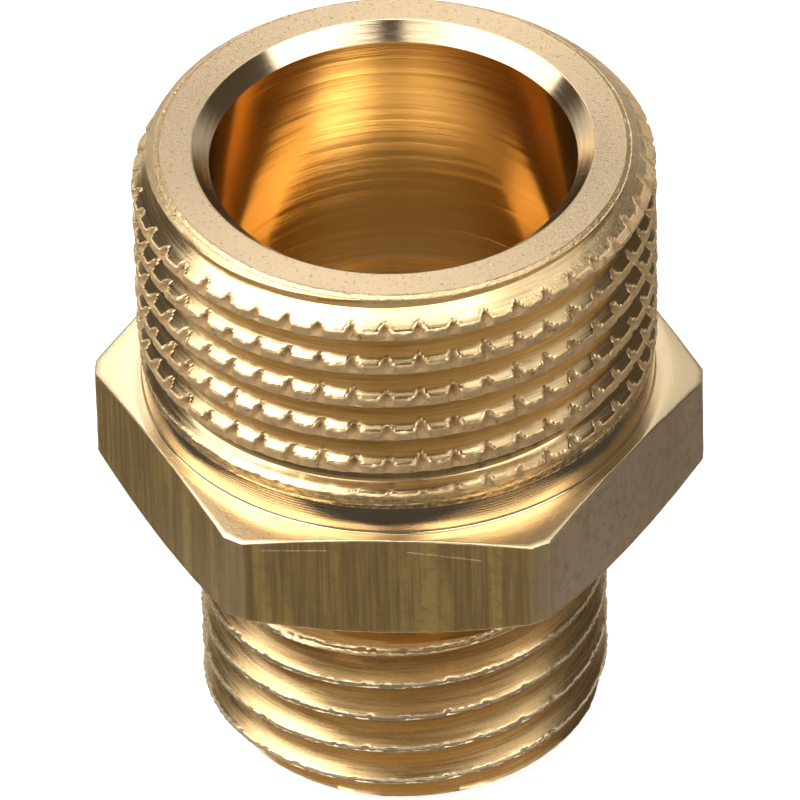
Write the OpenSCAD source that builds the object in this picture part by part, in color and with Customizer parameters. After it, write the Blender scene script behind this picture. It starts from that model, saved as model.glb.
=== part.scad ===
// Reducing hex nipple in brass, with a G 3/8 external thread on the large end
// and a G 1/4 external thread on the small end. Both are right-hand parallel
// pipe threads of 1.337 mm pitch, cut over a straight knurl.
// Units are millimetres. The axis is Z, the small end's face is at z = 0 and
// the large end points up.
// The real fitting is one turned piece of hexagonal bar. Each module below is
// one of its machined zones, and neighbouring zones meet face to face.

/* [Hexagon] */
// Width across the flats, the spanner size
across_flats = 17; // [16.9:0.1:24]
// Length of the hexagon along the axis
hex_len = 3.8; // [3:0.1:10]
// How far the turned corners stand out past the flats, on radius
corner_rise = 1.12; // [0.6:0.02:1.2]
// Drop of the corners below the large end's side of the hexagon
corner_drop_large = 0.22; // [0.05:0.01:0.6]
// Drop of the corners below the small end's side of the hexagon
corner_drop_small = 0.42; // [0.05:0.01:0.6]

/* [Large end] */
// Length from the hexagon to the end face
large_len = 9; // [7:0.1:16]
// Thread diameter over the crests, G 3/8
large_crest_d = 16.45; // [15.8:0.01:16.66]
// Length of the plain collar beside the hexagon
collar_len = 1; // [0.6:0.1:2.5]
// How far the collar is turned below the crests, on radius
collar_relief = 0.1; // [0.02:0.01:0.3]
// Wall of the large end's tube under the thread
large_wall = 1.7; // [1:0.05:2.4]
// Width of the crest's flat land
large_crest_w = 0.33; // [0.1:0.01:0.4]
// Knurl notches round the large thread
large_notches = 48; // [24:1:60]

/* [Small end] */
// Length from the hexagon to the end face
small_len = 9.4; // [7:0.1:16]
// Thread diameter over the crests, G 1/4
small_crest_d = 12.95; // [12.5:0.01:13.15]
// Length of the plain neck beside the hexagon
neck_len = 2.4; // [1.5:0.1:4]
// Wall of the small end's tube under the thread
small_wall = 1.475; // [0.8:0.025:2.4]
// Width of the crest's flat land
small_crest_w = 0.16; // [0.1:0.01:0.4]
// Knurl notches round the small thread
small_notches = 32; // [16:1:44]

/* [Threads] */
// Thread pitch, 19 to the inch
pitch = 1.337; // [1.2:0.001:1.5]
// Radial height from the root to the crest
thread_h = 0.75; // [0.6:0.01:0.8]
// Angle of each flank from the plane across the axis
flank_angle = 27.5; // [25:0.5:30]
// Depth of the knurl notches in the crests
notch_depth = 0.3; // [0.1:0.01:0.5]
// Width of a knurl notch round the crest
notch_w = 0.45; // [0.2:0.01:0.6]

/* [Ends and bore] */
// Angle of the outside lead-in chamfers from the end face
lead_angle = 40; // [30:1:50]
// Width of the lead-in chamfer inside the thread root, on radius
lead_w = 0.17; // [0.05:0.01:0.4]
// Width of the 45 degree chamfer in each bore's mouth
mouth_chamfer = 0.5; // [0.2:0.05:0.7]
// Metal between the large bore's end and the hexagon's small side
bore_floor = 2; // [1:0.1:2.8]
// Full angle of the cone between the two bores
step_angle = 118; // [90:1:140]

/* [Hidden] */

// Heights of the planes where the zones meet
z_neck = small_len - neck_len;
z_hex = small_len;
z_collar = z_hex + hex_len;
z_large = z_collar + collar_len;
z_top = z_collar + large_len;

// Radii
large_crest_r = large_crest_d / 2;
small_crest_r = small_crest_d / 2;
large_root_r = large_crest_r - thread_h;
small_root_r = small_crest_r - thread_h;
collar_r = large_crest_r - collar_relief;
large_bore_r = large_root_r - large_wall;
small_bore_r = small_root_r - small_wall;
flat_r = across_flats / 2;
corner_r = flat_r + corner_rise;

// Where the cone between the bores starts and ends
z_step = z_hex + bore_floor;
z_step_end = z_step - (large_bore_r - small_bore_r) / tan(step_angle / 2);

// The ridge first meets its shoulder at this turn, chosen so that the crests
// of the two threads stand where the lathe left them against the hexagon
large_turn = 181.9;
small_turn = 14.4;
large_notch_turn = 6.3;
small_notch_turn = 3.9;

// Thinnest edge kept where a ridge runs out, so that it stays a solid
feather = 0.04;
// How far a cutting tool passes the face that it cuts
pass = 1;

$fn = 96;

// A right-hand thread ridge on a core of radius root_r. It grows out of the
// shoulder plane z = 0 and is cut at its free end by the lead-in chamfer,
// which reaches the core's radius at z = len.
module thread_ridge(crest_r, crest_w, len, notches, first_notch) {
    root_r = crest_r - thread_h;
    half_notch = asin(notch_w / 2 / crest_r);
    step = 360 / notches;
    // Three rings for each notch: its two edges and its bottom
    offsets = [-half_notch, 0, half_notch];
    widest = step - 2 * half_notch;
    // Facets bridge the core without cutting into it
    seat_r = root_r / cos(widest / 2);
    half_base = crest_w / 2 + thread_h * tan(flank_angle);
    turn_start = 360 * (feather - half_base) / pitch;
    turn_end = 360 * (len - crest_w / 2 - feather * tan(lead_angle)) / pitch;
    notch_start = ceil((turn_start - first_notch + half_notch) / step);
    notch_end = floor((turn_end - first_notch - half_notch) / step);
    turns = [
        for (i = [notch_start : notch_end], k = [0 : 2])
            [first_notch + i * step + offsets[k], k == 1 ? notch_depth : 0]
    ];
    points = [for (t = turns) each ridge_ring(t[0], t[1], crest_r, crest_w, len, root_r, seat_r)];
    last = len(turns) - 1;
    faces = [
        [3, 2, 1, 0],
        for (i = [0 : last - 1], k = [0 : 3])
            let (a = 4 * i + k, b = 4 * i + (k + 1) % 4)
                each [[a, b, a + 4], [b, b + 4, a + 4]],
        [4 * last, 4 * last + 1, 4 * last + 2, 4 * last + 3]
    ];
    polyhedron(points, faces, convexity = 10);
}

// The four corners of the ridge's section at one turn of the helix. The crest
// is lowered by a notch, by the chamfer cone and by the shoulder plane.
function ridge_ring(turn, notch, crest_r, crest_w, len, root_r, seat_r) =
    let (
        centre = pitch * turn / 360,
        cone_r = root_r + (len - centre - crest_w / 2) / tan(lead_angle),
        sunk = max(0, feather - centre - crest_w / 2) / tan(flank_angle),
        top_r = max(seat_r + feather / 4, min(crest_r - notch, cone_r) - sunk),
        half_base = crest_w / 2 + (min(crest_r, cone_r) - root_r) * tan(flank_angle),
        low_base = max(0, centre - half_base),
        low_crest = max(0, centre - crest_w / 2),
        high_crest = max(feather, centre + crest_w / 2),
        high_base = max(feather, centre + half_base)
    )
    [
        [seat_r * cos(turn), seat_r * sin(turn), low_base],
        [top_r * cos(turn), top_r * sin(turn), low_crest],
        [top_r * cos(turn), top_r * sin(turn), high_crest],
        [seat_r * cos(turn), seat_r * sin(turn), high_base]
    ];

// The stepped bore right through the fitting, with a chamfer in each mouth.
// Every zone is cut by this one shape, so the bore runs on from zone to zone.
module bore_space() {
    mouth = mouth_chamfer + pass;
    rotate_extrude()
        polygon([
            [0, -pass],
            [small_bore_r + mouth, -pass],
            [small_bore_r, mouth_chamfer],
            [small_bore_r, z_step_end],
            [large_bore_r, z_step],
            [large_bore_r, z_top - mouth_chamfer],
            [large_bore_r + mouth, z_top + pass],
            [0, z_top + pass]
        ]);
}

// A round bar from its shoulder at z = 0 to its end face at z = len, with the
// lead-in chamfer round the face
module spigot_bar(root_r, len) {
    rotate_extrude()
        polygon([
            [0, 0],
            [root_r, 0],
            [root_r, len - lead_w * tan(lead_angle)],
            [root_r - lead_w, len],
            [0, len]
        ]);
}

// Hexagonal zone of the bar, with its corners turned and chamfered, holding
// the cone where the large bore steps down to the small one
module hex_body() {
    color([0.62, 0.5, 0.27])
    difference() {
        intersection() {
            translate([0, 0, z_hex]) cylinder(r = flat_r / cos(30), h = hex_len, $fn = 6);
            rotate_extrude()
                polygon([
                    [0, z_hex],
                    [flat_r, z_hex],
                    [corner_r, z_hex + corner_drop_small],
                    [corner_r, z_collar - corner_drop_large],
                    [flat_r, z_collar],
                    [0, z_collar]
                ]);
        }
        bore_space();
    }
}

// Plain turned collar between the hexagon and the large thread
module large_collar() {
    color([0.8, 0.68, 0.44])
    difference() {
        translate([0, 0, z_collar]) cylinder(r = collar_r, h = collar_len);
        bore_space();
    }
}

// Tube of the large end under its thread, with the end face and the bore
module large_spigot() {
    color([0.86, 0.74, 0.52])
    difference() {
        translate([0, 0, z_large]) spigot_bar(large_root_r, z_top - z_large);
        bore_space();
    }
}

// Large right-hand thread ridge
module large_thread() {
    color([0.84, 0.7, 0.42])
    translate([0, 0, z_large]) rotate([0, 0, large_turn])
        thread_ridge(large_crest_r, large_crest_w, z_top - z_large - lead_w * tan(lead_angle),
                     large_notches, large_notch_turn);
}

// Plain turned neck between the hexagon and the small thread
module small_neck() {
    color([0.74, 0.56, 0.28])
    difference() {
        translate([0, 0, z_neck]) cylinder(r = small_root_r, h = neck_len);
        bore_space();
    }
}

// Tube of the small end under its thread, with the end face and the bore
module small_spigot() {
    color([0.84, 0.7, 0.46])
    difference() {
        translate([0, 0, z_neck]) rotate([180, 0, 0]) spigot_bar(small_root_r, z_neck);
        bore_space();
    }
}

// Small right-hand thread ridge
module small_thread() {
    color([0.78, 0.62, 0.34])
    translate([0, 0, z_neck]) rotate([180, 0, 0]) rotate([0, 0, small_turn])
        thread_ridge(small_crest_r, small_crest_w, z_neck - lead_w * tan(lead_angle),
                     small_notches, small_notch_turn);
}

hex_body();
large_collar();
large_spigot();
large_thread();
small_neck();
small_spigot();
small_thread();
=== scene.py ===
import math

import bmesh
import bpy
import numpy as np
from mathutils import Matrix, Vector


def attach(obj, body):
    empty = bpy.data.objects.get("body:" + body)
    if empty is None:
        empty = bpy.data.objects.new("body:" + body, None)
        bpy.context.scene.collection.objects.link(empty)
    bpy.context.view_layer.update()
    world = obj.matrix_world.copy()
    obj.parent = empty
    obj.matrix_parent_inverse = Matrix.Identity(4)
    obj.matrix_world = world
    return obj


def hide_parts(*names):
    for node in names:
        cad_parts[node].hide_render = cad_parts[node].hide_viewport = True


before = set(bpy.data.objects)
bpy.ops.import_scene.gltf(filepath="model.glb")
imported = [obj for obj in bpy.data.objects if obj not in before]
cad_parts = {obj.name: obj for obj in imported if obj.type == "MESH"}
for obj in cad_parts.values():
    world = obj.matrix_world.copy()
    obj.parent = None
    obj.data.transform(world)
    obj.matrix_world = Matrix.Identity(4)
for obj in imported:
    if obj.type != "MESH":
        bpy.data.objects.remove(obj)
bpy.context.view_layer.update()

scene = bpy.context.scene

# --- Hexagon -----------------------------------------------------------------
# The bar's own hexagon, 17 mm across its flats. The flats keep the streaked,
# tarnished skin of the drawn bar; both sides and the corners are turned bright,
# and the tool leaves a thin burr along each edge.
MM = 0.001
BORE_R, SMALL_BORE_R = 5.775, 4.25
Z_HEX, Z_COLLAR = 9.4, 13.2
FLAT_R, CORNER_R = 8.5, 9.62
# How steeply the turned corners fall away on each side, as drop over radius
CORNER_SLOPE_TOP, CORNER_SLOPE_LOW = 0.22 / 1.12, 0.42 / 1.12


def waves(phi, z, seed, count, rounds, length):
    """Smooth random relief: sine waves added up and divided by the square root of their count. Each has a
    whole number of cycles about the axis, up to rounds, and a random number of cycles per millimetre, about
    1 / length, along it."""
    rng = np.random.default_rng(seed)
    total = 0.0
    for _ in range(count):
        k, m, p = rng.integers(-rounds, rounds + 1), rng.normal() / length, rng.uniform(0, 2 * math.pi)
        total = total + np.sin(k * phi + 2 * math.pi * m * z + p)
    return total / math.sqrt(count)


def revolve(phi, r, z):
    """Points in millimetres at azimuth phi, radius r and height z, as one array."""
    phi, r, z = np.broadcast_arrays(phi, r, z)
    return np.stack([r * np.cos(phi), r * np.sin(phi), z], -1)


def path(*stops):
    """Points along straight runs: each stop is its radius, its height and the number of steps that lead to it."""
    r, z = [stops[0][0]], [stops[0][1]]
    for (r0, z0, _), (r1, z1, n) in zip(stops[:-1], stops[1:]):
        r += list(np.linspace(r0, r1, n + 1)[1:])
        z += list(np.linspace(z0, z1, n + 1)[1:])
    return np.array(r)[None, :], np.array(z)[None, :]


# Points closer than this are one point, and bore faces lie within this of the bore, in millimetres
WELD, BORE_MARGIN = 0.0005, 0.05


def piece(name, grids, marks, material, nodes, sharp, bore=None):
    """One closed mesh from grids of points in millimetres. Points that meet are welded, faces point
    outwards, and marks are named values of the points that the material reads. Edges that turn by more
    than sharp degrees stay crisp. Faces round the bore take the bore material."""
    points, quads, base = [], [], 0
    for g in grids:
        at = base + np.arange(g.shape[0] * g.shape[1]).reshape(g.shape[:2])
        quads.append(np.stack([at[:-1, :-1], at[1:, :-1], at[1:, 1:], at[:-1, 1:]], -1).reshape(-1, 4))
        points.append(g.reshape(-1, 3))
        base += at.size
    mesh = bpy.data.meshes.new(name)
    mesh.from_pydata((np.concatenate(points) * MM).tolist(), [], np.concatenate(quads).tolist())
    for mark, values in marks.items():
        per_point = [np.broadcast_to(v, g.shape[:2]).ravel() for v, g in zip(values, grids)]
        named = mesh.attributes.new(mark, "FLOAT", "POINT")
        named.data.foreach_set("value", np.concatenate(per_point).astype(np.float32))
    welded = bmesh.new()
    welded.from_mesh(mesh)
    bmesh.ops.remove_doubles(welded, verts=welded.verts, dist=WELD * MM)
    bmesh.ops.recalc_face_normals(welded, faces=welded.faces)
    welded.to_mesh(mesh)
    welded.free()
    mesh.shade_smooth()
    mesh.set_sharp_from_angle(angle=math.radians(sharp))
    obj = bpy.data.objects.new(name, mesh)
    scene.collection.objects.link(obj)
    mesh.materials.append(material)
    if bore:
        mesh.materials.append(bore)
        centre, normal = (np.zeros(len(mesh.polygons) * 3) for _ in range(2))
        mesh.polygons.foreach_get("center", centre)
        mesh.polygons.foreach_get("normal", normal)
        centre, normal = centre.reshape(-1, 3), normal.reshape(-1, 3)
        near_bore = np.hypot(centre[:, 0], centre[:, 1]) < (BORE_R + BORE_MARGIN) * MM
        inside = near_bore & (np.abs(normal[:, 2]) < 0.9)
        mesh.polygons.foreach_set("material_index", inside.astype(np.int32))
    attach(obj, "root")
    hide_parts(*nodes)


def node(tree, kind, inputs=None, **settings):
    """A shader node with its settings, and with each named input set to a value or wired from a socket."""
    made = tree.nodes.new("ShaderNode" + kind)
    for key, value in settings.items():
        setattr(made, key, value)
    for key, value in (inputs or {}).items():
        if isinstance(value, bpy.types.NodeSocket):
            tree.links.new(value, made.inputs[key])
        else:
            made.inputs[key].default_value = value
    return made


def calc(tree, operation, a, b=0.0):
    """The result of one sum on two values."""
    return node(tree, "Math", {0: a, 1: b}, operation=operation).outputs[0]


def blend(tree, factor, a, b):
    """Colour a turned into colour b by the factor."""
    return node(tree, "Mix", {0: factor, 6: a, 7: b}, data_type="RGBA").outputs[2]


def spread(tree, value, low, high, to_low=0.0, to_high=1.0):
    """The value's range from low to high, eased into another range."""
    ends = {0: value, 1: low, 2: high, 3: to_low, 4: to_high}
    return node(tree, "MapRange", ends, interpolation_type="SMOOTHSTEP").outputs[0]


def product(tree, *values):
    """The values multiplied together."""
    total = values[0]
    for value in values[1:]:
        total = calc(tree, "MULTIPLY", total, value)
    return total


def rest_of(tree, mask):
    """One minus a mask."""
    return calc(tree, "SUBTRACT", 1.0, mask)


def coordinates(tree):
    """The piece's own coordinates, in metres."""
    return node(tree, "TexCoord").outputs["Object"]


def scaled(tree, vector, factor):
    """A vector times one number."""
    return node(tree, "VectorMath", {0: vector, 3: factor}, operation="SCALE").outputs[0]


def split(tree, vector):
    """The x, y and z of a vector."""
    return node(tree, "SeparateXYZ", {0: vector}).outputs


def noise(tree, vector, scale, detail=2.0, rough=0.5, warp=0.0):
    """Fractal noise on a vector."""
    return node(tree, "TexNoise", {"Vector": vector, "Scale": scale, "Detail": detail, "Roughness": rough,
                                   "Distortion": warp}).outputs["Fac"]


def effect(name, inputs, outputs):
    """An empty node group with named sockets, and the piece's own coordinates in millimetres in it."""
    tree = bpy.data.node_groups.new(name, "ShaderNodeTree")
    for label, value in inputs:
        tree.interface.new_socket(label, in_out="INPUT", socket_type="NodeSocketFloat").default_value = value
    for label, kind in outputs:
        tree.interface.new_socket(label, in_out="OUTPUT", socket_type="NodeSocket" + kind)
    place = scaled(tree, coordinates(tree), 1 / MM)
    return tree, tree.nodes.new("NodeGroupInput").outputs, tree.nodes.new("NodeGroupOutput").inputs, place


# Turning marks: rings round the axis, as a tool's feed leaves them on a face or a wall
turning, given, gives, place = effect("Turning marks", [("Lines per mm", 8.0), ("Waver", 0.02)],
                                      [("Height", "Float")])
x, y, z = split(turning, place)
from_axis = calc(turning, "SQRT", calc(turning, "ADD", product(turning, x, x), product(turning, y, y)))
waver = product(turning, calc(turning, "SUBTRACT", noise(turning, place, 0.5), 0.5), given["Waver"])
rings = node(turning, "CombineXYZ", {0: calc(turning, "ADD", from_axis, waver), 1: calc(turning, "ADD", z, waver)})
fine = noise(turning, rings.outputs[0], given["Lines per mm"], 4.0, 0.7)
turning.links.new(fine, gives["Height"])

# Torn grain: the sandy, pulled surface that a blunt edge or a rolled knurl leaves in brass
torn, given, gives, place = effect("Torn grain", [("Grain mm", 0.08)], [("Height", "Float"), ("Pits", "Float")])
finer = calc(torn, "DIVIDE", 1.0, given["Grain mm"])
torn.links.new(noise(torn, place, finer, 6.0, 0.75, 0.6), gives["Height"])
pitted = noise(torn, place, product(torn, finer, 0.55), 5.0, 0.7)
torn.links.new(spread(torn, pitted, 0.56, 0.66), gives["Pits"])

# Stains: soft blotches where the brass has dulled
stains, given, gives, place = effect("Stains", [("Size mm", 3.0), ("Cover", 0.5)], [("Mask", "Float")])
blot = noise(stains, place, calc(stains, "DIVIDE", 1.0, given["Size mm"]), 5.0, 0.62, 0.4)
edge = calc(stains, "SUBTRACT", 0.75, product(stains, given["Cover"], 0.5))
SOFTNESS = 0.08
blotches = spread(stains, blot, calc(stains, "SUBTRACT", edge, SOFTNESS), calc(stains, "ADD", edge, SOFTNESS))
stains.links.new(blotches, gives["Mask"])


def use(tree, group, **inputs):
    """A node group put to use, with its inputs set by name."""
    made = tree.nodes.new("ShaderNodeGroup")
    made.node_tree = group
    for key, value in inputs.items():
        made.inputs[key.replace("_", " ")].default_value = value
    return made.outputs


def metal(name):
    """A new metal material: its tree and its shader."""
    made = bpy.data.materials.new(name)
    made.use_nodes = True
    shader = made.node_tree.nodes["Principled BSDF"]
    shader.inputs["Metallic"].default_value = 1.0
    return made, made.node_tree, shader


def mark(tree, name):
    """The value of a named mark on the points."""
    return node(tree, "Attribute", attribute_name=name).outputs["Fac"]


def relief(tree, shader, *heights):
    """Bumps one over another: each a height and its depth in millimetres."""
    normal = None
    for height, depth in heights:
        inputs = {"Height": height, "Distance": depth * MM}
        if normal is not None:
            inputs["Normal"] = normal
        normal = node(tree, "Bump", inputs).outputs["Normal"]
    tree.links.new(normal, shader.inputs["Normal"])


QUARTER_TURN = 0.25


def turned_way(tree, shader, amount):
    """Stretches reflections across the turning marks, which run round the axis."""
    around = node(tree, "VectorMath", {0: (0, 0, 1), 1: coordinates(tree)}, operation="CROSS_PRODUCT").outputs[0]
    tree.links.new(node(tree, "VectorMath", {0: around}, operation="NORMALIZE").outputs[0], shader.inputs["Tangent"])
    shader.inputs["Anisotropic Rotation"].default_value = QUARTER_TURN
    shader.inputs["Anisotropic"].default_value = amount


PALE_BRASS = (0.92, 0.74, 0.48, 1)
DULLED_BRASS = (0.84, 0.61, 0.34, 1)

# The bored brass: ringed and mirror-like on the walls, polished in the mouth and sandy on the end face
bored, tree, shader = metal("bored_brass")
face, mouth = mark(tree, "face"), mark(tree, "mouth")
grain = use(tree, torn, Grain_mm=0.075)
coarse = use(tree, torn, Grain_mm=0.22)["Height"]
rings = use(tree, turning, Lines_per_mm=5.0, Waver=0.15)["Height"]
fine_rings = use(tree, turning, Lines_per_mm=22.0, Waver=0.05)["Height"]
sandy = blend(tree, grain["Pits"], (0.84, 0.65, 0.415, 1), (0.54, 0.40, 0.24, 1))
# Painted shade: the walls' brass is darker and deeper than the threads', so that the bore shows darker within
wall_tone_and_shade = blend(tree, spread(tree, rings, 0.35, 0.65), (0.83, 0.585, 0.27, 1), (0.88, 0.63, 0.31, 1))
wall_tone_and_shade = blend(tree, mouth, wall_tone_and_shade, (0.84, 0.66, 0.42, 1))
tree.links.new(blend(tree, face, wall_tone_and_shade, sandy), shader.inputs["Base Color"])
turned_way(tree, shader, 0.75)
wall_rough = spread(tree, rings, 0.3, 0.7, 0.11, 0.18)
wall_rough = calc(tree, "ADD", wall_rough, product(tree, mouth, 0.04))
# The drill leaves the bottom of the large bore rougher than the boring tool leaves its wall
DRILLED_Z, BORED_Z = 11.5 * MM, 15.0 * MM
height = split(tree, coordinates(tree))[2]
wall_rough = calc(tree, "ADD", wall_rough, spread(tree, height, DRILLED_Z, BORED_Z, 0.16, 0.0))
face_rough = spread(tree, grain["Height"], 0.3, 0.7, 0.42, 0.58)
walls = rest_of(tree, face)
tree.links.new(calc(tree, "ADD", product(tree, face, face_rough), product(tree, walls, wall_rough)),
               shader.inputs["Roughness"])
relief(tree, shader,
       (product(tree, rings, walls), 0.005),
       (product(tree, fine_rings, walls), 0.0012),
       (product(tree, grain["Height"], face), 0.045),
       (product(tree, coarse, face), 0.014))

# The drawn brass: brown and streaked down the flats, bright and turned elsewhere
drawn, tree, shader = metal("drawn_brass")
side = mark(tree, "side")
# Cycles per metre round the flats and along the bar, for the fine streaks and the broad bands
FINE, BROAD = (9000.0, 9000.0, 260.0), (900.0, 900.0, 60.0)
drawn_out = [node(tree, "VectorMath", {0: coordinates(tree), 1: stretch}, operation="MULTIPLY").outputs[0]
             for stretch in (FINE, BROAD)]
streak = noise(tree, drawn_out[0], 1.0, 4.0, 0.65)
band = noise(tree, drawn_out[1], 1.0, 3.0, 0.6)
spots = use(tree, stains, Size_mm=0.3, Cover=0.36)["Mask"]
film = use(tree, stains, Size_mm=5.0, Cover=0.75)["Mask"]
dull = blend(tree, spread(tree, streak, 0.35, 0.7), (0.235, 0.148, 0.048, 1), (0.34, 0.218, 0.070, 1))
dull = blend(tree, product(tree, spread(tree, band, 0.48, 0.60), 0.6), dull, (0.46, 0.31, 0.09, 1))
x, y, z = split(tree, scaled(tree, coordinates(tree), 1 / MM))
# The flats on the right are made paler and greyer
greyed = spread(tree, x, 4.6, 5.6)
dull = blend(tree, product(tree, greyed, 0.75), dull, (0.40, 0.29, 0.19, 1))
dull = blend(tree, product(tree, spots, 0.4), dull, (0.20, 0.13, 0.07, 1))
# Two light scratches near the top of the front flat
for middle_x, half_x, height, slope in ((-2.9, 1.15, 12.74, 0.02), (1.8, 1.25, 12.60, -0.13)):
    along = calc(tree, "SUBTRACT", x, middle_x)
    line = calc(tree, "ADD", height, product(tree, along, slope))
    on_line = spread(tree, calc(tree, "ABSOLUTE", calc(tree, "SUBTRACT", z, line)), 0.01, 0.035, 1.0, 0.0)
    in_reach = spread(tree, calc(tree, "ABSOLUTE", along), half_x - 0.2, half_x, 1.0, 0.0)
    broken = spread(tree, streak, 0.35, 0.6, 0.2, 0.8)
    in_front = calc(tree, "LESS_THAN", y, 0.0)
    dull = blend(tree, product(tree, on_line, in_reach, broken, in_front), dull, (0.80, 0.58, 0.36, 1))
turned_part = rest_of(tree, side)
tree.links.new(rest_of(tree, product(tree, side, 0.5)), shader.inputs["Metallic"])
bright = blend(tree, product(tree, film, 0.4), PALE_BRASS, DULLED_BRASS)
tree.links.new(blend(tree, side, bright, dull), shader.inputs["Base Color"])
side_rough = spread(tree, streak, 0.3, 0.75, 0.30, 0.46)
rough = calc(tree, "ADD", product(tree, side, side_rough), product(tree, turned_part, 0.24))
tree.links.new(rough, shader.inputs["Roughness"])
rings = use(tree, turning, Lines_per_mm=7.0)["Height"]
grain = use(tree, torn, Grain_mm=0.07)["Height"]
relief(tree, shader,
       (product(tree, streak, side), 0.012),
       (product(tree, rings, turned_part), 0.002),
       (grain, 0.004))

# Turns from a flat's middle to its corner, in degrees, closer together where the corner's band starts.
# The rim is the least of the flat, FLAT_R / cos(turn), and the turned corner, with the edge between eased.
half = np.concatenate([np.linspace(0, 27.0, 20), np.linspace(27.15, 28.7, 12), np.linspace(28.9, 30, 4)])
face_turns = np.concatenate([-half[:0:-1], half])
phi = np.radians(np.concatenate([60 * k + 30 + face_turns[:-1] for k in range(6)] + [[360.0]]))[:, None]
off = np.radians(np.mod(np.degrees(phi), 60) - 30)
flat = FLAT_R / np.cos(off)
EDGE_EASE = 0.012
rim = flat - EDGE_EASE * np.log(1 + np.exp((flat - CORNER_R) / EDGE_EASE))
rim = np.minimum(rim, CORNER_R + 0.001)


def top_of(r):
    """Height of the hexagon's large side at a radius."""
    return Z_COLLAR - np.maximum(0, r - FLAT_R) * CORNER_SLOPE_TOP


def low_of(r):
    """Height of the hexagon's small side at a radius."""
    return Z_HEX + np.maximum(0, r - FLAT_R) * CORNER_SLOPE_LOW


# Width of the uneven burr along the upper and the lower edge
BURR = 0.045
burr_top = BURR + 0.012 * waves(phi, 0, 3, 26, 150, 1)
burr_low = BURR + 0.014 * waves(phi, 0, 4, 26, 150, 1)
ring_r, ring_z, side_mark = [], [], []


def put(r, z, s):
    """Adds one ring of points to the hexagon's skin."""
    ring_r.append(np.broadcast_to(r, phi.shape))
    ring_z.append(np.broadcast_to(z, phi.shape))
    side_mark.append(np.broadcast_to(s, phi.shape))


# Radius of the last round ring; past it the rings widen towards the hexagon's rim
ROUND_R = 8.4
for r in (BORE_R, 7.0, 8.0, 8.2, ROUND_R):
    put(r, Z_COLLAR, 0)
for s in (0.3, 0.6, 0.85):
    r = ROUND_R + (rim - ROUND_R - burr_top) * s
    put(r, top_of(r), 0)
put(rim - burr_top, top_of(rim - burr_top), 0)
put(rim - burr_top * 0.35, top_of(rim) - burr_top * 0.12, 0)
put(rim - burr_top * 0.04, top_of(rim) - burr_top * 0.5, 0.2)
top_edge, low_edge = top_of(rim) - burr_top, low_of(rim) + burr_low
CORNER_BAND_TURN, SIDE_INSET = 27.6, 0.012
corner_band = np.clip((np.abs(np.degrees(off)) - CORNER_BAND_TURN) / 0.5, 0, 1)
for s in np.linspace(0, 1, 22):
    z = top_edge + (low_edge - top_edge) * s
    dent = 0.006 * waves(phi, z, 8, 20, 70, 6.0) + 0.003 * waves(phi, z, 9, 20, 200, 0.9)
    put(rim + dent - SIDE_INSET, z, 1 - 0.25 * corner_band)
put(rim - burr_low * 0.04, low_of(rim) + burr_low * 0.5, 0.2)
put(rim - burr_low * 0.35, low_of(rim) + burr_low * 0.12, 0)
put(rim - burr_low, low_of(rim - burr_low), 0)
for s in (0.6, 0.3):
    r = ROUND_R + (rim - ROUND_R - burr_low) * s
    put(r, low_of(r), 0)
for r in (ROUND_R, 7.0, 5.6, SMALL_BORE_R):
    put(r, Z_HEX, 0)
# Up the bore: the small bore, the drill's cone with eased edges, and the large bore with one tool ring
TOOL_RING = 0.006
for r, z in ((SMALL_BORE_R, 10.0), (SMALL_BORE_R, 10.46), (SMALL_BORE_R, 10.484), (4.29, 10.508), (5.0, 10.934),
             (5.735, 11.376), (BORE_R, 11.4), (BORE_R, 11.44), (BORE_R, 12.0), (BORE_R, 12.74),
             (BORE_R + TOOL_RING, 12.76), (BORE_R + TOOL_RING, 12.78), (BORE_R, 12.8), (BORE_R, Z_COLLAR)):
    put(r, z, 0)
piece("hexagon", [revolve(phi, np.concatenate(ring_r, 1), np.concatenate(ring_z, 1))],
      {"side": [np.concatenate(side_mark, 1)]}, drawn, ["hex_body"], sharp=50, bore=bored)

# --- Collar ------------------------------------------------------------------
# The plain ring between the hexagon and the large thread, turned smooth with a
# fine feed that leaves regular rings, so that it mirrors its surroundings in stripes.
COLLAR_R, Z_LARGE = 8.125, 14.2

turned, tree, shader = metal("turned_brass")
turned_way(tree, shader, 0.5)
rings = use(tree, turning, Lines_per_mm=14.0)["Height"]
film = use(tree, stains, Size_mm=4.0, Cover=0.5)["Mask"]
grain = use(tree, torn, Grain_mm=0.05)["Height"]
tree.links.new(blend(tree, product(tree, film, 0.4), PALE_BRASS, DULLED_BRASS), shader.inputs["Base Color"])
tree.links.new(spread(tree, rings, 0.3, 0.7, 0.08, 0.18), shader.inputs["Roughness"])
relief(tree, shader, (rings, 0.0016), (grain, 0.0008))

# All the way round the axis. The collar's wall is a straight line with a fine sine groove in its upper part
# and a small fillet, which fades as an exponential, at the hexagon.
ROUND = np.linspace(0, 2 * math.pi, 385)[:, None]
COLLAR_INSET, GROOVED_Z = 0.012, 13.55
wall_z = np.linspace(Z_COLLAR, Z_LARGE, 61)
groove = 0.0007 * np.sin(2 * math.pi * wall_z / 0.1) * np.clip((wall_z - GROOVED_Z) / 0.1, 0, 1)
wall_r = COLLAR_R - COLLAR_INSET + groove + 0.05 * np.exp(-(wall_z - Z_COLLAR) / 0.03)
ring_r = np.concatenate([[BORE_R, 7.0], wall_r, [7.0, BORE_R, BORE_R, BORE_R]])[None, :]
ring_z = np.concatenate([[Z_COLLAR, Z_COLLAR], wall_z, [Z_LARGE, Z_LARGE, 13.7, Z_COLLAR]])[None, :]
piece("collar", [revolve(ROUND, ring_r, ring_z)], {}, turned, ["large_collar"], sharp=50, bore=bored)

# --- Large end: tube ---------------------------------------------------------
# The tube under the large thread. Its end face is sawn or faced dull and grainy,
# the mouth's chamfer is polished, and the bore shows the drill's and the boring
# tool's rings. The face's outer edge carries a bright burred bevel.
Z_TOP, FACE_IN, FACE_OUT = 22.2, 6.275, 7.29
Z_MOUTH = 21.7
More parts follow.
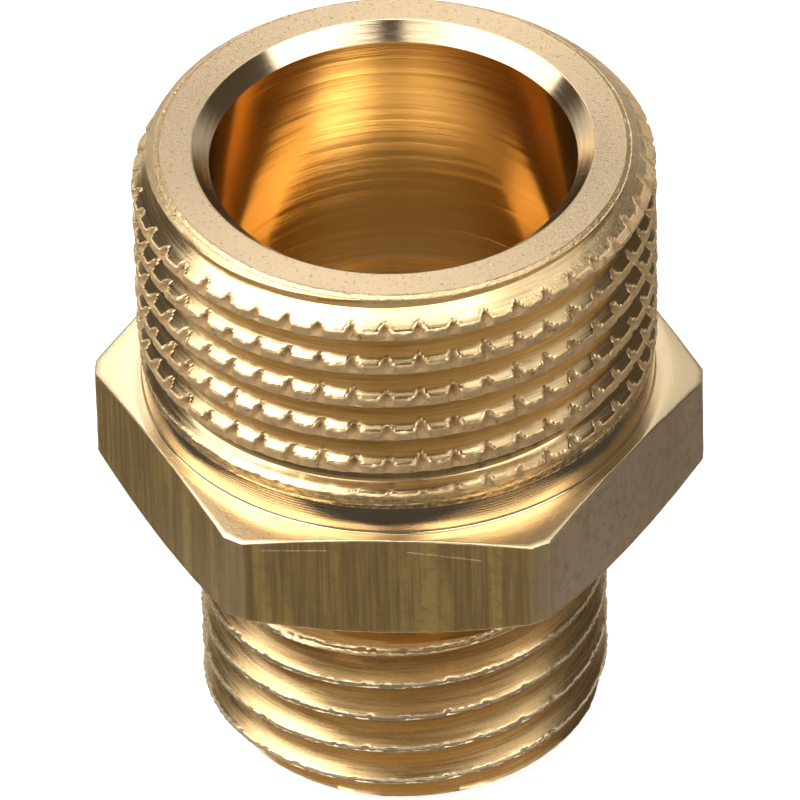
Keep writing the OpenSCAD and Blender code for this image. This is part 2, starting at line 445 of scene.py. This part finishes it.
# The tube's outside hides under the thread, and a little wider lip stands under the face's bevel
TUBE_R, LIP_R = 7.36, 7.43
# Slack for telling which points lie on a face or a wall
NEAR, EXACT = 0.01, 1e-6


def closed(r, z):
    """Radii and heights round the axis with the last ring of points laid on the first."""
    r, z = np.broadcast_arrays(r, z)
    return [np.concatenate([g[:, :-1], g[:, :1]], 1) for g in (r, z)]


r, z = path((TUBE_R, Z_LARGE, 0), (TUBE_R, 21.9, 6), (LIP_R, 22.0, 2), (LIP_R, 22.1, 2), (FACE_OUT, Z_TOP, 4),
            (FACE_IN, Z_TOP, 16), (BORE_R, Z_MOUTH, 8), (BORE_R, Z_LARGE, 90), (TUBE_R, Z_LARGE, 6))
on_face = ((z > Z_TOP - EXACT) & (r > FACE_IN + NEAR)).astype(float)
on_edge = (z > 22.05) & (r > FACE_OUT - NEAR) & (r < LIP_R + NEAR)
on_mouth = ((z > Z_MOUTH - NEAR) & (r < FACE_IN + NEAR)).astype(float)
on_bore = (np.abs(r - BORE_R) < EXACT) & (z < 21.6)
tool_rings = sum(TOOL_RING * np.exp(-((z - at) / 0.02) ** 2) for at in (15.78, 16.9, 18.6))
r = r + np.where(on_bore, tool_rings + 0.002 * waves(ROUND, z, 12, 16, 3, 0.5), 0)
within_mouth = on_mouth * (z < Z_TOP - NEAR) * (z > Z_MOUTH + NEAR) > 0
r = r + np.where(within_mouth, 0.003 * waves(ROUND, 0 * z, 13, 8, 9, 1), 0)
z = z + np.where(on_edge, 0.016 * waves(ROUND, 8 * r, 14, 24, 180, 1.0), 0)
r, z = closed(r, z)
piece("large_tube", [revolve(ROUND, r, z)], {"face": [on_face + 0.35 * on_edge], "mouth": [on_mouth]},
      bored, ["large_spigot"], sharp=28)

# --- Large end: thread -------------------------------------------------------
# A right-hand pipe thread of 1.337 mm pitch, cut over 48 straight knurl notches.
# Its flanks are cut bright; its crests and notches are torn and sandy, and a
# lead-in chamfer cuts away the first turn.
PITCH = 1.337
# Run of each flank along the axis for each millimetre of rise
FLANK, UPPER_FLANK = 0.52, 0.61
# How sharply the crest's edges are kept, and the share of a plain V in the shape of a notch
EDGE_POWER, V_SHARE = 1.15, 0.86
# How deep under the root the ridge's hidden inner wall lies
HIDDEN_DEPTH = 0.1
BRASS = (0.91, 0.69, 0.385, 1)

threaded, tree, shader = metal("threaded_brass")
crest = mark(tree, "crest")
grain = use(tree, torn, Grain_mm=0.13)
rings = use(tree, turning, Lines_per_mm=9.0, Waver=0.05)["Height"]
film = use(tree, stains, Size_mm=2.2, Cover=0.55)["Mask"]
turned_way(tree, shader, 0.45)
flank_tone = blend(tree, product(tree, film, 0.45), BRASS, (0.78, 0.54, 0.26, 1))
feed = use(tree, turning, Lines_per_mm=16.0, Waver=0.04)["Height"]
flank_tone = blend(tree, spread(tree, feed, 0.45, 0.62, 0.0, 0.55), flank_tone, (0.62, 0.41, 0.17, 1))
crest_tone = blend(tree, grain["Pits"], (0.80, 0.575, 0.315, 1), (0.50, 0.34, 0.17, 1))
crest_tone = blend(tree, product(tree, mark(tree, "pit"), 0.5), crest_tone, (0.40, 0.25, 0.11, 1))
tree.links.new(blend(tree, crest, flank_tone, crest_tone), shader.inputs["Base Color"])
flank = rest_of(tree, crest)
rough = calc(tree, "ADD", product(tree, crest, spread(tree, grain["Height"], 0.3, 0.7, 0.42, 0.62)),
             product(tree, flank, spread(tree, rings, 0.3, 0.7, 0.14, 0.26)))
tree.links.new(rough, shader.inputs["Roughness"])
relief(tree, shader,
       (product(tree, rings, flank), 0.003),
       (product(tree, grain["Height"], crest), 0.07),
       (product(tree, grain["Height"], flank), 0.001))


def thread(name, root_r, crest_r, crest_w, centre_z, centre_turn, low, high, cone, out_z, out_rise, fade_z, plain,
           notches, first_notch, notch_w, notch_depth, burr, lip_at, curl, seed, columns, material, nodes):
    """A ridge wound round a core as one long strip, one pitch wide, with some columns of points to a notch.
    The radius at a point is the least of three: a flat-topped ridge profile by the distance from the crest's
    centre line, with its own run for the lower and the upper flank; the knurl's notched cylinder by azimuth;
    and the lead-in cone, which is cone[0] at the height cone[2] and changes by cone[1] for each millimetre
    below it. Each notch is a V with a little of a cosine in it, deeper on the crest's upper side. A burr
    stands at lip_at from a notch's middle, and curl raises the crest's lower edge. Past out_z the groove is
    shallower by out_rise, where the tool draws out, past fade_z the notches fade away, and from the height
    plain[0] to the shoulder the radius is at least plain[1]. Heights outside low and high are drawn to them,
    and a hidden inner wall closes the mesh."""
    step = 2 * math.pi / notches
    per_turn = notches * columns
    turn_low = math.floor((low - PITCH / 2 - centre_z) / PITCH * notches - 1) * columns
    turn_high = math.ceil((high + PITCH / 2 - centre_z) / PITCH * notches + 1) * columns
    turn = np.arange(turn_low, turn_high + 1) * 2 * math.pi / per_turn
    half_w = crest_w / 2
    foot = crest_w / 2 + (crest_r - root_r) * FLANK
    upper_foot = crest_w / 2 + (crest_r - root_r) * UPPER_FLANK
    # Rows of the strip: the upper flank, which is seen most, has the finer ones, and each edge of the crest
    # has a pair of rows close together that keeps it crisp
    upper = half_w + (upper_foot - half_w) * np.linspace(0, 1, 9)[1:]
    lower = half_w + (foot - half_w) * np.linspace(0, 1, 6)[1:]
    edge = 0.015
    land = np.array([-half_w - edge, -half_w + edge, -0.4 * half_w, 0.2 * half_w, half_w - edge, half_w + edge])
    offset = np.concatenate([[-PITCH / 2], -lower[::-1], land, upper, [PITCH / 2]])
    phi = centre_turn + turn[:, None]
    z = np.clip(centre_z + PITCH * turn[:, None] / (2 * math.pi) + offset[None, :], low, high)
    away = z - centre_z - PITCH * turn[:, None] / (2 * math.pi)

    def skin(phi, z, away):
        """Radius, and the marks for crests and for notch bottoms, at points of the strip."""
        # down runs from 0 on the crest to 1 at a flank's foot, and the power rounds the crest's edge
        down = np.clip((np.abs(away) - half_w) / np.where(away > 0, upper_foot - half_w, foot - half_w), 0, 1)
        ridge = root_r + (crest_r - root_r) * (1 - down ** EDGE_POWER)
        ridge = np.maximum(ridge, np.where((z - plain[0]) * (out_z - fade_z) < 0, plain[1], root_r))
        shallow = np.clip((out_z - z) / (0.2 * (out_z - fade_z)), 0, 1)
        ridge = np.maximum(ridge, root_r + out_rise * shallow)
        from_notch = np.abs(np.mod(phi - first_notch + step / 2, step) - step / 2) * crest_r
        shoulder = 0.5 + 0.5 * np.cos(np.clip(from_notch / (step * crest_r / 2), 0, 1) * math.pi)
        cut = V_SHARE * np.clip(1 - from_notch / (notch_w / 2), 0, 1) + (1 - V_SHARE) * shoulder
        # the notch is shallow at the crest's lower edge and full at its upper edge
        cut = cut * np.clip(0.6 + 0.4 * away / half_w, 0.2, 1)
        lip = np.exp(-((from_notch - lip_at) / (notch_w * 0.2)) ** 2)
        uneven = 1 + 0.22 * waves(phi, z, seed, 14, notches // 2, 1.2)
        faded = 1 - np.clip((fade_z - z) / (0.3 * (out_z - fade_z)), 0, 1)
        knurl = crest_r - notch_depth * uneven * faded * cut
        knurl = knurl + burr * faded * lip * (0.6 + 0.6 * waves(phi, z, seed + 1, 18, notches * 2, 0.8))
        # fine tearing all along, and where the notches have faded the crest is turned clean, a little lower
        knurl = knurl + 0.015 * waves(phi, z, seed + 2, 30, notches * 5, 0.3) - 0.01 - 0.09 * (1 - faded)
        lead = cone[0] + cone[1] * (cone[2] - z)
        r = np.minimum(np.minimum(ridge, knurl), lead)
        on_crest = np.clip(1 - (knurl - ridge) / 0.03, 0, 1)
        on_lead = np.clip(1 - (lead - np.minimum(ridge, knurl)) / 0.05, 0, 1)
        on_crest = on_crest * (0.25 + 0.75 * faded)
        r = r + curl * np.exp(-((away + 0.7 * half_w) / (0.35 * half_w)) ** 2)
        r = r + 0.006 * waves(phi, z, seed + 3, 24, notches * 3, 0.3) * np.maximum(on_crest, on_lead)
        return r, np.clip(np.maximum(on_crest, 0.25 * on_lead), 0, 1), np.clip(cut * faded * 1.3 - 0.15, 0, 1)

    r, crest, pit = skin(phi, z, away)
    round_phi = centre_turn + np.arange(per_turn + 1)[:, None] * 2 * math.pi / per_turn
    inner = root_r - HIDDEN_DEPTH
    ends, end_marks = [], []
    for level in (low, high):
        height = np.full_like(round_phi, level)
        gap = height - centre_z - PITCH * (round_phi - centre_turn) / (2 * math.pi)
        edge_r, _, _ = skin(round_phi, height, np.mod(gap + PITCH / 2, PITCH) - PITCH / 2)
        ends.append(revolve(round_phi, np.concatenate([edge_r, np.full_like(round_phi, inner)], 1), height))
        end_marks.append(0.0)
    ends.append(revolve(round_phi, inner, np.array([[low, high]])))
    end_marks.append(0.0)
    piece(name, [revolve(phi, r, z)] + ends, {"crest": [crest] + end_marks, "pit": [pit] + end_marks}, material,
          nodes, sharp=32)


thread("large_thread_skin", root_r=7.475, crest_r=8.225, crest_w=0.26,
       centre_z=21.214, centre_turn=math.radians(-89.5), low=Z_LARGE, high=22.1, cone=(7.35, 1.18, Z_TOP),
       out_z=15.98, out_rise=0.25, fade_z=14.95, plain=(14.42, 8.11),
       notches=48, first_notch=math.radians(-89.3), notch_w=0.42, notch_depth=0.30,
       burr=0.015, lip_at=0.22, curl=0.0, seed=21, columns=12, material=threaded, nodes=["large_thread"])

# --- Neck --------------------------------------------------------------------
# The plain neck between the hexagon and the small thread, turned to the thread's
# root so that the threading die can run out. It lies in the hexagon's shade.
NECK_R, Z_NECK, NECK_INSET = 5.725, 7.0, 0.006
wall_z = np.linspace(Z_HEX, Z_NECK, 81)
groove = 0.0008 * np.sin(2 * math.pi * wall_z / 0.12)
wall_r = NECK_R - NECK_INSET + groove + 0.06 * np.exp(-(Z_HEX - wall_z) / 0.04)
ring_r = np.concatenate([[SMALL_BORE_R, 5.0], wall_r, [5.0, SMALL_BORE_R, SMALL_BORE_R, SMALL_BORE_R]])[None, :]
ring_z = np.concatenate([[Z_HEX, Z_HEX], wall_z, [Z_NECK, Z_NECK, 8.0, Z_HEX]])[None, :]
piece("neck", [revolve(ROUND, ring_r, ring_z)], {}, turned, ["small_neck"], sharp=50, bore=bored)

# --- Small end: tube ---------------------------------------------------------
# The tube under the small thread, with its faced end, its chamfered mouth and
# the drilled small bore.
SMALL_TUBE_R, SMALL_LIP_R, SMALL_MOUTH_Z = 5.62, 5.66, 0.5
SMALL_FACE_IN, SMALL_FACE_OUT = 4.75, 5.555
r, z = path((SMALL_TUBE_R, Z_NECK, 0), (SMALL_TUBE_R, 0.3, 6), (SMALL_LIP_R, 0.2, 2), (SMALL_LIP_R, 0.1, 2),
            (SMALL_FACE_OUT, 0.0, 4), (SMALL_FACE_IN, 0.0, 12), (SMALL_BORE_R, SMALL_MOUTH_Z, 8),
            (SMALL_BORE_R, Z_NECK, 50), (SMALL_TUBE_R, Z_NECK, 6))
on_face = ((z < EXACT) & (r > SMALL_FACE_IN + NEAR)).astype(float)
on_mouth = ((z < SMALL_MOUTH_Z + NEAR) & (r < SMALL_FACE_IN + NEAR)).astype(float)
on_edge = (z < 0.15) & (r > SMALL_FACE_OUT - 0.015) & (r < SMALL_LIP_R + NEAR)
on_bore = (np.abs(r - SMALL_BORE_R) < EXACT) & (z > 0.6)
r = r + np.where(on_bore, 0.002 * waves(ROUND, z, 15, 16, 3, 0.5), 0)
z = np.maximum(z + np.where(on_edge, 0.008 * waves(ROUND, 8 * r, 16, 24, 140, 1.0), 0), 0)
r, z = closed(r, z)
piece("small_tube", [revolve(ROUND, r, z)], {"face": [on_face + 0.35 * on_edge], "mouth": [on_mouth]},
      bored, ["small_spigot"], sharp=28)

# --- Small end: thread -------------------------------------------------------
# The same pitch on the smaller tube, with 32 narrow, shallow knurl notches that
# leave small burrs, and a sharper crest. It is browner than the large thread.
small_threaded, tree, shader = metal("small_threaded_brass")
crest = mark(tree, "crest")
grain = use(tree, torn, Grain_mm=0.08)
rings = use(tree, turning, Lines_per_mm=8.0, Waver=0.05)["Height"]
film = use(tree, stains, Size_mm=2.5, Cover=0.6)["Mask"]
turned_way(tree, shader, 0.45)
flank_tone = blend(tree, product(tree, film, 0.5), (0.86, 0.61, 0.30, 1), (0.74, 0.50, 0.23, 1))
feed = use(tree, turning, Lines_per_mm=12.0, Waver=0.04)["Height"]
flank_tone = blend(tree, spread(tree, feed, 0.45, 0.62, 0.0, 0.5), flank_tone, (0.56, 0.36, 0.15, 1))
crest_tone = blend(tree, grain["Pits"], (0.93, 0.74, 0.48, 1), (0.80, 0.58, 0.32, 1))
# Painted highlight: at the notch bottoms, where the burrs stand, the crest is lightened towards pale cream
crest_tone = blend(tree, product(tree, mark(tree, "pit"), 0.6), crest_tone, (0.97, 0.84, 0.64, 1))
tree.links.new(blend(tree, crest, flank_tone, crest_tone), shader.inputs["Base Color"])
flank = rest_of(tree, crest)
rough = calc(tree, "ADD", product(tree, crest, 0.24), product(tree, flank, spread(tree, rings, 0.3, 0.7, 0.2, 0.34)))
tree.links.new(rough, shader.inputs["Roughness"])
relief(tree, shader,
       (product(tree, rings, flank), 0.004),
       (product(tree, grain["Height"], crest), 0.006),
       (grain["Height"], 0.002))

thread("small_thread_skin", root_r=5.725, crest_r=6.475, crest_w=0.12,
       centre_z=1.375, centre_turn=math.radians(-89.0), low=0.1, high=Z_NECK, cone=(5.6, -1.18, 0.0),
       out_z=6.2, out_rise=0.3, fade_z=6.6, plain=(7.0, 5.73),
       notches=32, first_notch=math.radians(-85.8), notch_w=0.3, notch_depth=0.05,
       burr=0.075, lip_at=0.0, curl=0.03, seed=41, columns=16, material=small_threaded, nodes=["small_thread"])

# --- Floor -------------------------------------------------------------------
# A plain pale floor, a hair below the end face so that the two don't share a
# plane. It shows an even white to the camera. In the metal's reflections it
# glows instead with a painted reflection of light and shade round the fitting.
FLOOR_Z, FLOOR_HALF = -0.03 * MM, 3.0
corners = [(-1, -1), (1, -1), (1, 1), (-1, 1)]
floor_mesh = bpy.data.meshes.new("floor")
floor_mesh.from_pydata([(FLOOR_HALF * x, FLOOR_HALF * y, FLOOR_Z) for x, y in corners], [], [(0, 1, 2, 3)])
floor = bpy.data.objects.new("floor", floor_mesh)
scene.collection.objects.link(floor)
floor_look = bpy.data.materials.new("pale_floor")
floor_look.use_nodes = True
tree = floor_look.node_tree
paper = tree.nodes["Principled BSDF"]
paper.inputs["Base Color"].default_value = (0.3, 0.3, 0.3, 1)
paper.inputs["Roughness"].default_value = 0.9
paper.inputs["Emission Color"].default_value = (1, 1, 1, 1)
paper.inputs["Emission Strength"].default_value = 0.85
# Painted reflection, by the distance from the axis in metres: the metal mirrors a floor that glows in a painted
# bright ring close to the fitting, with painted shade under its bore and in a band past the ring, and paler further
# out
reach = node(tree, "VectorMath", {0: coordinates(tree)}, operation="LENGTH").outputs["Value"]
painted_near_glow = spread(tree, reach, 0.012, 0.018, 0.55, 0.05)
painted_shade_under_bore = spread(tree, reach, 0.004, 0.006, 0.3, 0.0)
painted_far_glow = spread(tree, reach, 0.028, 0.045, 0.0, 0.45)
painted_reflection_level = calc(tree, "ADD", calc(tree, "SUBTRACT", painted_near_glow, painted_shade_under_bore), painted_far_glow)
dim = node(tree, "Emission", {"Color": (1.0, 0.97, 0.93, 1), "Strength": painted_reflection_level})
# Painted reflection: glossy rays see this glow, and every other ray sees the plain pale floor
in_mirror = node(tree, "LightPath").outputs["Is Glossy Ray"]
both = node(tree, "MixShader", {0: in_mirror, 1: paper.outputs[0], 2: dim.outputs[0]})
tree.links.new(both.outputs[0], tree.nodes["Material Output"].inputs["Surface"])
floor_mesh.materials.append(floor_look)

# --- Camera ------------------------------------------------------------------
# A long lens half a metre away, 40 degrees above the level and facing one flat
# of the hexagon, turned a little to the right and rolled slightly.
LENS, DISTANCE = 676.0, 0.4748
HEIGHT, TURN, ROLL = math.radians(39.98), math.radians(3.54), math.radians(1.416)
middle = Vector((0, 0, Z_COLLAR * MM))
back = Vector((math.sin(TURN) * math.cos(HEIGHT), -math.cos(TURN) * math.cos(HEIGHT), math.sin(HEIGHT)))
level = Vector((math.cos(TURN), math.sin(TURN), 0))
upright = back.cross(level)
right = level * math.cos(ROLL) - upright * math.sin(ROLL)
up = level * math.sin(ROLL) + upright * math.cos(ROLL)
eye = middle + back * DISTANCE
# The lens points a little right of and below the middle of the collar's foot, to place the fitting in view
AIM_RIGHT, AIM_DOWN = 0.0455 * MM, 1.0736 * MM
aim = middle + right * AIM_RIGHT - up * AIM_DOWN
facing = (eye - aim).normalized()
sideways = up.cross(facing).normalized()
camera_data = bpy.data.cameras.new("camera")
camera_data.lens, camera_data.sensor_width = LENS, 36.0
camera_data.clip_start, camera_data.clip_end = 0.01, 20.0
camera = bpy.data.objects.new("camera", camera_data)
scene.collection.objects.link(camera)
frame_axes = Matrix((sideways, facing.cross(sideways), facing)).transposed()
camera.matrix_world = Matrix.Translation(eye) @ frame_axes.to_4x4()
scene.camera = camera

# --- Light -------------------------------------------------------------------
# Soft boxes round the object in a dim, warm room: strong ones overhead, at the
# left and in front, with a gap above the camera, and weak ones behind, low down
# and on the right, so that the right side of each thread stays darker.
world = bpy.data.worlds.new("studio")
scene.world = world
world.use_nodes = True
world.node_tree.nodes["Background"].inputs["Color"].default_value = (1.0, 0.84, 0.70, 1)
world.node_tree.nodes["Background"].inputs["Strength"].default_value = 0.07


BOX_DISTANCE, OBJECT_MIDDLE = 0.5, Vector((0, 0, 11 * MM))


def softbox(name, height, turn, width, tall, bright):
    """A soft box seen from the object at a height angle and a turn to the right of the camera, in degrees,
    with its sides as angles too, and its brightness against white. A side's length is twice the distance
    times the tangent of half its angle."""
    h, t = math.radians(height), math.radians(turn)
    to = (Vector((math.sin(TURN), -math.cos(TURN), 0)) * math.cos(t) + level * math.sin(t)) * math.cos(h)
    to += Vector((0, 0, math.sin(h)))
    data = bpy.data.lights.new(name, "AREA")
    data.shape = "RECTANGLE"
    data.size = 2 * BOX_DISTANCE * math.tan(math.radians(width / 2))
    data.size_y = 2 * BOX_DISTANCE * math.tan(math.radians(tall / 2))
    data.energy = bright * math.pi * data.size * data.size_y
    lamp = bpy.data.objects.new(name, data)
    lamp.location = OBJECT_MIDDLE + to * BOX_DISTANCE
    lamp.rotation_euler = to.to_track_quat("Z", "Y").to_euler()
    scene.collection.objects.link(lamp)


softbox("overhead", 84, -90, 28, 44, 2.9)
softbox("left", 62, -97, 42, 30, 3.8)
softbox("right_high", 71, 92, 40, 14, 1.15)
softbox("right_mid", 58, 105, 40, 12, 0.8)
softbox("front_left", 45, -29, 26, 20, 2.0)
softbox("left_front", 38, -72, 60, 26, 2.4)
softbox("front_right", 44, 43, 50, 20, 3.0)
softbox("behind_left", 37, -160, 24, 24, 1.2)
softbox("behind_high", 60, 180, 50, 16, 0.6)
softbox("behind", 40, -178, 28, 32, 0.8)
softbox("behind_right", 38, 159, 16, 26, 0.55)
softbox("low_left", 3, -140, 50, 22, 0.7)
softbox("low_right", 3, 140, 50, 22, 0.4)

scene.view_settings.view_transform = "Standard"
scene.view_settings.look = "None"
scene.cycles.max_bounces = 6
scene.cycles.glossy_bounces = 4
scene.cycles.diffuse_bounces = 4
